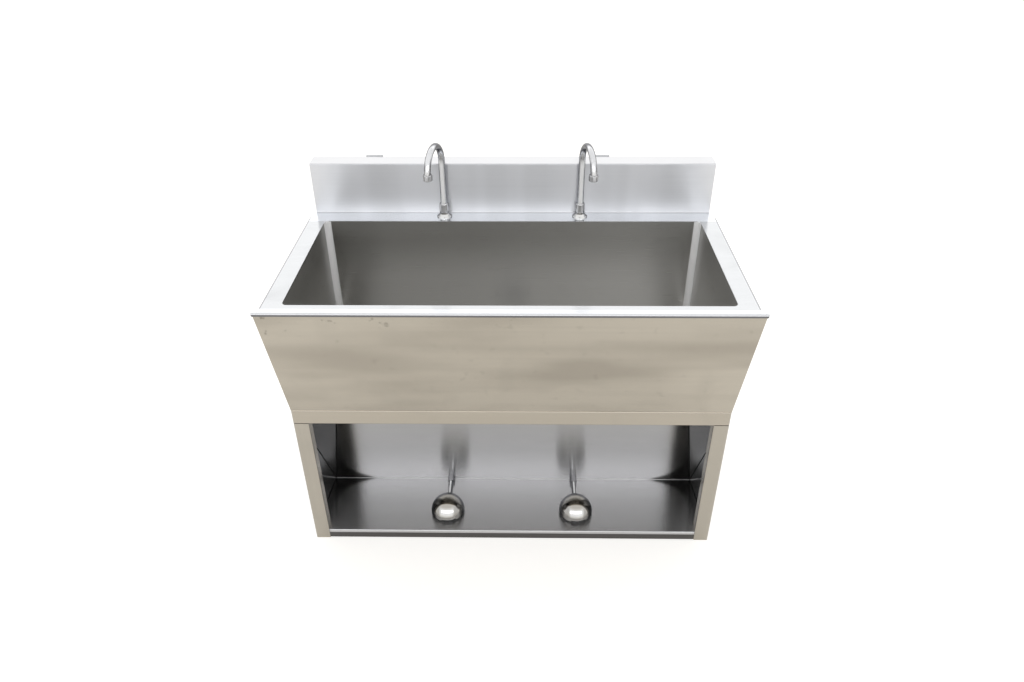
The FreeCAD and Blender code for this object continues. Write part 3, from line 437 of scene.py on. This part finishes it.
def toe_corner_shade(tree):
    """Painted shade darkening the ends of the toe space's rear fold; it runs out to a point along
    the fold.
    """
    extra_reach, least_reach, fall_off = 0.115, 0.02, 32.0
    ahead = arithmetic(tree, "SUBTRACT", TOE_FOLD_Y, object_axis(tree, "Y"))
    above = arithmetic(tree, "SUBTRACT", object_axis(tree, "Z"), TOE_FOLD_Z)
    away = arithmetic(tree, "MULTIPLY", arithmetic(tree, "ADD", ahead, above), -fall_off)
    nearness = arithmetic(tree, "EXPONENT", away)
    reach = arithmetic(tree, "MULTIPLY_ADD", nearness, extra_reach, least_reach)
    past = arithmetic(tree, "ADD", out_from_middle(tree), reach)
    return ramp(tree, past, start=0.565, end=0.600)


def patina_and_sheen(tree, stretch, size, low, high):
    """Broad cloudy change of tone, stretched across or up the sheet: patina on the apron, painted
    reflection bands on the splashback.
    """
    mapping = tree.nodes.new("ShaderNodeMapping")
    mapping.inputs["Scale"].default_value = stretch
    tree.links.new(coordinate(tree, "Object"), mapping.inputs["Vector"])
    return ramp(tree, noise(tree, mapping.outputs[0], size, detail=2.0), low, high)


def apron_patina(tree):
    """Broad clouds that lie across the apron."""
    return patina_and_sheen(tree, stretch=(0.5, 1.0, 2.4), size=3.1, low=0.42, high=0.68)


def splash_reflection_bands(tree):
    """Soft upright bands on the splashback, which are painted reflections."""
    return patina_and_sheen(tree, stretch=(6.0, 1.0, 0.25), size=1.4, low=0.40, high=0.66)


def apron_specks(tree):
    """Small dark splashes, mostly at the apron's upper left."""
    share_elsewhere, extra_share = 0.12, 0.75
    dots = noise(tree, coordinate(tree, "Object"), scale=42.0, detail=4.0)
    leftwards = ramp(tree, object_axis(tree, "X"), start=-0.1, end=-0.55)
    upwards = ramp(tree, object_axis(tree, "Z"), start=0.76, end=0.84)
    upper_left = arithmetic(tree, "MULTIPLY", leftwards, upwards)
    share = arithmetic(tree, "MULTIPLY_ADD", upper_left, extra_share, share_elsewhere)
    return arithmetic(tree, "MULTIPLY", ramp(tree, dots, start=0.62, end=0.72), share)


def riser_highlight(tree):
    """The strip up the front of a spout's riser, painted white as a highlight."""
    facing = component(tree, coordinate(tree, "Normal"), "Y")
    front = ramp(tree, facing, start=-0.74, end=-0.88)
    below_bend = ramp(tree, object_axis(tree, "Z"), start=1.060, end=1.020)
    return arithmetic(tree, "MULTIPLY", front, below_bend)


def tube_dark_reflection(tree):
    """The two sides of the thin tube that runs back from each pedal, darkened as a painted
    reflection.
    """
    return ramp(tree, out_from_station(tree), start=0.0020, end=0.0034)


def dome_crown_reflection(tree):
    """The upper part of a pedal dome, darkened as a painted reflection."""
    return ramp(tree, object_axis(tree, "Z"), start=0.070, end=0.082)


def dome_sides_reflection(tree):
    """The two sides of a pedal dome, darkened as a painted reflection."""
    return ramp(tree, out_from_station(tree), start=0.016, end=0.026)


def dome_skirt_reflection(tree):
    """The lower part of a pedal dome, darkened as a painted reflection."""
    return ramp(tree, object_axis(tree, "Z"), start=0.058, end=0.050)


def rolled_lip(tree):
    """Not a mask but a normal: the lip's front as if rolled over, turning up towards the top."""
    full_lift = 1.3
    height = ramp(tree, object_axis(tree, "Z"), start=0.8645, end=0.8685)
    lift = combined(tree, Z=arithmetic(tree, "MULTIPLY", height, full_lift))
    normal = tree.nodes.new("ShaderNodeNewGeometry").outputs["Normal"]
    return vector_math(tree, "NORMALIZE", vector_math(tree, "ADD", normal, lift))


# ---------------------------------------------------------------- materials
def satin_steel(name, colour, turn=0.0, roughness=0.2, spread=0.03, ripple=0.0003, stain=0.3,
                anisotropy=0.95, streak=0.05, tones=(), rolled=None, frosted=None):
    """Belt-polished stainless sheet, with its grain, streaks, handling marks and slow ripples.

    tones are pairs of a mask and the colour that the sheet goes to under it; many are painted light
    and shade. Where frosted is one, the metal is made nearly non-metallic and scatters light, under
    a painted highlight. rolled gives the normal that the ripples start from. spread and streak say
    how much the grain changes the roughness and the colour."""
    grain_depth, mark_roughness, frosted_metallic = 0.00002, 0.05, 0.1
    material, tree, steel = principled(name)
    link = tree.links.new
    steel.inputs["Metallic"].default_value = 1.0
    steel.inputs["Anisotropic"].default_value = anisotropy
    grain = placed(tree, GRAIN, Turn=turn)
    marks = placed(tree, SMUDGES, Amount=stain).outputs["Mask"]
    streaks = ranged(tree, grain.outputs["Streak"], low=0.15, high=0.9)
    tone = mixed_colour(tree, scaled(colour, 1 - streak), scaled(colour, 1 + streak), streaks)
    tone = mixed_colour(tree, tone, scaled(colour, 0.92), ranged(tree, marks, low=0, high=0.5))
    for mask, other in tones:
        tone = mixed_colour(tree, tone, other, mask(tree))
    link(tone, steel.inputs["Base Color"])
    if frosted:
        link(ranged(tree, frosted(tree), 1.0, frosted_metallic), steel.inputs["Metallic"])
    grain_rough = ranged(tree, grain.outputs["Grain"], roughness - spread, roughness + spread)
    link(arithmetic(tree, "MULTIPLY_ADD", marks, mark_roughness, grain_rough),
         steel.inputs["Roughness"])
    link(across_grain(tree, turn), steel.inputs["Tangent"])
    waves = placed(tree, RIPPLE).outputs["Height"]
    slow = bump(tree, waves, distance=ripple, strength=1.0, normal=rolled(tree) if rolled else None)
    fine = bump(tree, grain.outputs["Grain"], distance=grain_depth, strength=0.25, normal=slow)
    link(fine, steel.inputs["Normal"])
    return material


def chrome_plate(name, colour=(0.80, 0.80, 0.79), roughness=0.045, drawn=0.0, tones=(),
                 frosted=None, metallic=1.0):
    """Bright plating with faint water spots and wipe marks.

    drawn blurs its highlights up and down a polished tube. tones and frosted are as on the sheet.
    Where it turns away from the eye it goes to the rim colour, a painted dark outline that stands
    in for reflections."""
    rim, rim_start, rim_end = (0.12, 0.12, 0.13), 0.38, 0.60
    mark_roughness, frosted_metallic = 0.10, 0.05
    material, tree, plate = principled(name)
    link = tree.links.new
    plate.inputs["Metallic"].default_value = metallic
    marks = placed(tree, SMUDGES, Size=45.0, Amount=0.42).outputs["Mask"]
    tone = mixed_colour(tree, colour, scaled(colour, 0.93), marks)
    for mask, other in tones:
        tone = mixed_colour(tree, tone, other, mask(tree))
    # Painted reflection: the colour darkens where the surface turns away from the eye.
    turned_away = tree.nodes.new("ShaderNodeLayerWeight").outputs["Facing"]
    tone = mixed_colour(tree, tone, rim, ramp(tree, turned_away, rim_start, rim_end))
    link(tone, plate.inputs["Base Color"])
    if frosted:
        link(ranged(tree, frosted(tree), 1.0, frosted_metallic), plate.inputs["Metallic"])
    link(ranged(tree, marks, roughness, roughness + mark_roughness), plate.inputs["Roughness"])
    if drawn:
        plate.inputs["Anisotropic"].default_value = drawn
        link(combined(tree, Z=1.0), plate.inputs["Tangent"])
    return material


def plain_metal(name, colour, roughness):
    """Machined or drawn metal with light tooling marks."""
    spread = 0.05
    material, tree, metal = principled(name)
    link = tree.links.new
    metal.inputs["Metallic"].default_value = 1.0
    grain = placed(tree, GRAIN, Fine=1500.0, Long=160.0)
    marks = placed(tree, SMUDGES, Size=30.0).outputs["Mask"]
    tone = mixed_colour(tree, scaled(colour, 0.85), colour, grain.outputs["Streak"])
    tone = mixed_colour(tree, tone, scaled(colour, 0.8), ranged(tree, marks, low=0, high=0.6))
    link(tone, metal.inputs["Base Color"])
    link(ranged(tree, grain.outputs["Grain"], roughness - spread, roughness + spread),
         metal.inputs["Roughness"])
    return material


def rubber(name, dark, light, shine):
    """Dull rubber or sealant with wipe marks."""
    material, tree, body = principled(name)
    marks = placed(tree, SMUDGES, Size=60.0, Amount=0.5).outputs["Mask"]
    body.inputs["Specular IOR Level"].default_value = shine
    tree.links.new(mixed_colour(tree, dark, light, marks), body.inputs["Base Color"])
    tree.links.new(ranged(tree, marks, low=0.6, high=0.8), body.inputs["Roughness"])
    return material


def dress(material, *names):
    """Gives CAD nodes their finish."""
    for name in names:
        mesh = nodes[name].data
        mesh.materials.clear()
        mesh.materials.append(material)


def dress_cabinet():
    """Belt-polished sheet outside, and mill finish behind."""
    # Deck: the lighter rear strip is a painted highlight, and the dark side edges are painted
    # shade.
    deck = satin_steel("deck_sheet", (0.65, 0.66, 0.67),
                       tones=[(rear_strip_highlight, (0.88, 0.90, 0.93)), (deck_edge_shade, (0.30, 0.30, 0.32))])
    dress(deck, "deck")
    # Splashback: the soft upright bands are painted reflections, and the lighter flat top is a
    # painted highlight.
    splash = satin_steel("splash_sheet", (0.68, 0.69, 0.715), roughness=0.34,
                         tones=[(splash_reflection_bands, (0.76, 0.77, 0.80)),
                                (splash_top_highlight, (0.78, 0.78, 0.79))])
    dress(splash, "backsplash", "left_splash_end", "right_splash_end")
    # Trough: the darker upper left is painted shade, and the white, nearly non-metallic rear
    # corners are a painted highlight.
    trough = satin_steel("trough_sheet", (0.60, 0.595, 0.58), roughness=0.28, spread=0.015,
                         streak=0.035, stain=0.12, ripple=0.0001, frosted=corner_highlights,
                         tones=[(trough_shade, (0.30, 0.295, 0.28)),
                                (corner_highlights, (1.0, 1.0, 1.0))])
    dress(trough, "basin")
    # Apron: the paler lip is a painted highlight, and the dark lower half of its front is painted
    # shade.
    apron = satin_steel("apron_sheet", (0.58, 0.535, 0.46), stain=0.36, streak=0.06,
                        rolled=rolled_lip,
                        tones=[(apron_patina, (0.46, 0.42, 0.36)),
                               (apron_specks, (0.22, 0.20, 0.17)),
                               (lip_top_highlight, (0.78, 0.79, 0.81)),
                               (lip_shadow, (0.20, 0.20, 0.21))])
    dress(apron, "front_apron")
    dress(satin_steel("side_sheet", (0.64, 0.63, 0.61)), "left_side_panel", "right_side_panel")
    dress(satin_steel("rail_sheet", (0.53, 0.485, 0.415)), "top_rail")
    # The bottom rail is the cabinet's steel, darkened as painted shade.
    dress(satin_steel("sill_shaded_sheet", (0.135, 0.13, 0.128)), "bottom_rail")
    dress(satin_steel("stile_sheet", (0.52, 0.485, 0.425), turn=1.0), "left_stile", "right_stile")
    # Toe space: the darker upper back panel, roof and fold ends are painted shade.
    toe = satin_steel("toe_sheet", (0.66, 0.66, 0.67), roughness=0.25, anisotropy=0.97, stain=0.1,
                      ripple=0.0001,
                      tones=[(toe_upper_shade, (0.50, 0.50, 0.505)),
                             (toe_corner_shade, (0.16, 0.16, 0.16)),
                             (toe_roof_shade, (0.28, 0.265, 0.24))])
    dress(toe, "toe_floor", "toe_back_panel")
    # Both liners are the same steel, darkened as painted shade, the left more than the right.
    dress(satin_steel("left_liner_shaded_sheet", (0.18, 0.18, 0.18), roughness=0.16), "left_liner")
    dress(satin_steel("right_liner_shaded_sheet", (0.30, 0.30, 0.30), roughness=0.16), "right_liner")
    dress(plain_metal("mill_sheet", (0.5, 0.5, 0.5), roughness=0.38),
          "rear_top_brace", "rear_middle_brace", "rear_bottom_brace", "basin_bearers")
    dress(plain_metal("tab_sheet", (0.76, 0.77, 0.78), roughness=0.3), "wall_tabs")


def dress_fittings():
    """Chrome where it shows, and plain metal and rubber behind and under the deck."""
    chrome = chrome_plate("chrome")
    # The white, nearly non-metallic strip up each riser is a painted highlight.
    drawn_chrome = chrome_plate("drawn_chrome", (0.80, 0.805, 0.82), roughness=0.14, drawn=0.9,
                                tones=[(riser_highlight, (1.0, 1.0, 1.0))], frosted=riser_highlight)
    # The domes' darker crown, sides and skirt are painted reflections.
    dome_chrome = chrome_plate("dome_chrome", tones=[(dome_crown_reflection, (0.46, 0.44, 0.40)),
                                                     (dome_sides_reflection, (0.42, 0.41, 0.39)),
                                                     (dome_skirt_reflection, (0.34, 0.33, 0.31))])
    for side, _ in SIDES:
        dress(drawn_chrome, side + "_gooseneck")
        dress(dome_chrome, side + "_pedal_dome")
        for part in ("aerator", "spout_flange", "spout_body", "valve_base"):
            dress(chrome, side + "_" + part)
    dress(chrome, "neck_nuts")
    # The nuts in the toe space's back panel are the chrome, darkened as painted shade.
    dress(chrome_plate("union_chrome_shaded", (0.34, 0.34, 0.35), roughness=0.08), "bulkhead_fittings")
    # The thin tubes' dark sides are a painted reflection.
    outlet_chrome = chrome_plate("outlet_chrome", (0.80, 0.80, 0.80), roughness=0.12,
                                 tones=[(tube_dark_reflection, (0.07, 0.07, 0.075))])
    dress(outlet_chrome, "left_outlet_tube", "right_outlet_tube")
    dress(plain_metal("drawn_tube", (0.62, 0.62, 0.62), roughness=0.22),
          "left_riser_pipe", "right_riser_pipe", "branch_tubes", "supply_manifold", "inlet_pipe",
          "left_pedal_stem", "right_pedal_stem", "drain_body", "drain_strainer", "tailpiece",
          "trap_bend", "waste_arm", "valve_screws")
    dress(plain_metal("machined_brass", (0.72, 0.52, 0.24), roughness=0.24),
          "deck_locknuts", "tail_nuts", "inlet_fitting", "slip_nuts", "drain_locknut")
    dress(plain_metal("spring_wire", (0.42, 0.42, 0.43), roughness=0.3),
          "left_valve_spring", "right_valve_spring")
    black_rubber = rubber("black_rubber", (0.02, 0.02, 0.02), (0.05, 0.05, 0.048), shine=0.5)
    dress(black_rubber, "drain_gasket")


# ---------------------------------------------------------------- added pieces
def add_piece(name, shape, material, body):
    """Makes a piece of a bmesh, on a body of the frame."""
    mesh = bpy.data.meshes.new(name)
    shape.to_mesh(mesh)
    shape.free()
    mesh.materials.append(material)
    piece = bpy.data.objects.new(name, mesh)
    bpy.context.scene.collection.objects.link(piece)
    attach(piece, body)


def fluted_ring(name, outline, centre, flutes, material, body):
    """A turned ring with shallow flutes down its outside.

    outline is a closed loop of radius and height. On the outside, every second column of corners is
    sunk by the flutes' depth."""
    flute_depth = 0.0006
    shape = bmesh.new()
    corners = [shape.verts.new((radius, 0, height)) for radius, height in outline]
    edges = [shape.edges.new(pair) for pair in zip(corners, corners[1:] + corners[:1])]
    bmesh.ops.spin(shape, geom=corners + edges, cent=(0, 0, 0), axis=(0, 0, 1), angle=2 * math.pi,
                   steps=2 * flutes, use_merge=True)
    bmesh.ops.recalc_face_normals(shape, faces=shape.faces)
    widest = max(radius for radius, _ in outline)
    outside = 0.97 * widest
    grooves = []
    for corner in shape.verts:
        column = round(math.atan2(corner.co.y, corner.co.x) * flutes / math.pi)
        if column % 2 and corner.co.xy.length > outside:
            grooves.append(corner)
    shrink = 1 - flute_depth / widest
    bmesh.ops.scale(shape, vec=(shrink, shrink, 1), verts=grooves)
    bmesh.ops.translate(shape, vec=centre, verts=shape.verts)
    add_piece(name, shape, material, body)


def add_neck_rings(material):
    """Fluted grip of each neck nut, tapered in over its top."""
    outline = [(0.0096, 0.0280), (0.0118, 0.0270), (0.0133, 0.0242), (0.0136, 0.0035),
               (0.0130, 0.0015), (0.0120, 0.0015), (0.0120, 0.0230), (0.0096, 0.0250)]
    for side, sign in SIDES:
        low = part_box(side + "_spout_flange")[1][2]
        centre = (sign * STATION_X, SPOUT_Y, low)
        fluted_ring(side + "_neck_grip", outline, centre, flutes=15, material=material,
                    body="cabinet")


def add_aerator_rings(material):
    """Fluted grip of each aerator, tapered in to the tube."""
    outline = [(0.0096, 0.0016), (0.0120, 0.0008), (0.0129, -0.0012), (0.0129, -0.0135),
               (0.0125, -0.0150), (0.0115, -0.0150), (0.0115, -0.0005), (0.0096, 0.0002)]
    for side, _ in SIDES:
        low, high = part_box(side + "_aerator")
        centre = ((low[0] + high[0]) / 2, (low[1] + high[1]) / 2, high[2])
        fluted_ring(side + "_aerator_grip", outline, centre, flutes=14, material=material,
                    body=side + "_spout")


def add_fittings():
    """The fluted grips of the spouts' nuts and aerators."""
    grip = chrome_plate("chrome_grip", (0.72, 0.72, 0.73), roughness=0.1, metallic=0.6)
    add_neck_rings(grip)
    add_aerator_rings(grip)


def seam_line(name, start, end, radius, material):
    """A thin line of sealant or weld along a joint."""
    start, end = Vector(start), Vector(end)
    along = end - start
    turn = along.to_track_quat("Z", "Y").to_matrix().to_4x4()
    shape = bmesh.new()
    bmesh.ops.create_cone(shape, cap_ends=True, segments=10, radius1=radius, radius2=radius,
                          depth=along.length, matrix=Matrix.Translation((start + end) / 2) @ turn)
    add_piece(name, shape, material, "cabinet")


def add_seams():
    """Sealant round each creased liner of the toe space, and the weld along its rear fold."""
    sealant = rubber("black_sealant", (0.004, 0.004, 0.004), (0.012, 0.012, 0.012), shine=0.05)
    front_x, front_y, front_top = 0.597, -0.207, 0.451
    corner_x, corner_y, floor_z = 0.583, -0.0075, 0.0345
    back_x, back_top = 0.552, 0.27
    for side, sign in SIDES:
        corner = (sign * corner_x, corner_y, floor_z)
        lines = (("crease", (sign * front_x, front_y, front_top), 0.0015),
                 ("floor_seam", (sign * front_x, front_y, floor_z), 0.0015),
                 ("back_seam", (sign * back_x, corner_y, back_top), 0.0013))
        for label, start, radius in lines:
            seam_line(side + "_liner_" + label, start, corner, radius, sealant)
    weld = plain_metal("polished_weld", (0.80, 0.80, 0.81), roughness=0.35)
    weld_x, weld_y, weld_z = 0.582, -0.0078, 0.0348
    seam_line("toe_fold_weld", (-weld_x, weld_y, weld_z), (weld_x, weld_y, weld_z), 0.0011, weld)


def add_lip_caps():
    """Small plates that close the lip's two ends, along their slant."""
    material = satin_steel("lip_cap_sheet", (0.66, 0.66, 0.67))
    thickness, height, middle_z = 0.001, 0.0104, 0.865
    for side, sign in SIDES:
        front = Vector((sign * 0.6088, -0.334, middle_z))
        rear = Vector((sign * 0.5993, -0.314, middle_z))
        along = rear - front
        turn = Matrix.Rotation(math.atan2(-along.x, along.y), 4, "Z")
        size = Matrix.Diagonal((thickness, along.length, height, 1))
        shape = bmesh.new()
        bmesh.ops.create_cube(shape, size=1,
                              matrix=Matrix.Translation((front + rear) / 2) @ turn @ size)
        add_piece(side + "_lip_cap", shape, material, "cabinet")


def squash_springs():
    """Gives each pedal's return spring a mesh of its own."""
    for side, _ in SIDES:
        name = side + "_valve_spring"
        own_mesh(nodes[name])


place_camera()
light_studio()
side_card("left_card", -2.6)
side_card("right_card", 2.6)
make_floor()
dress_cabinet()
dress_fittings()
add_fittings()
add_seams()
add_lip_caps()
squash_springs()
bpy.context.scene.view_settings.view_transform = "Standard"
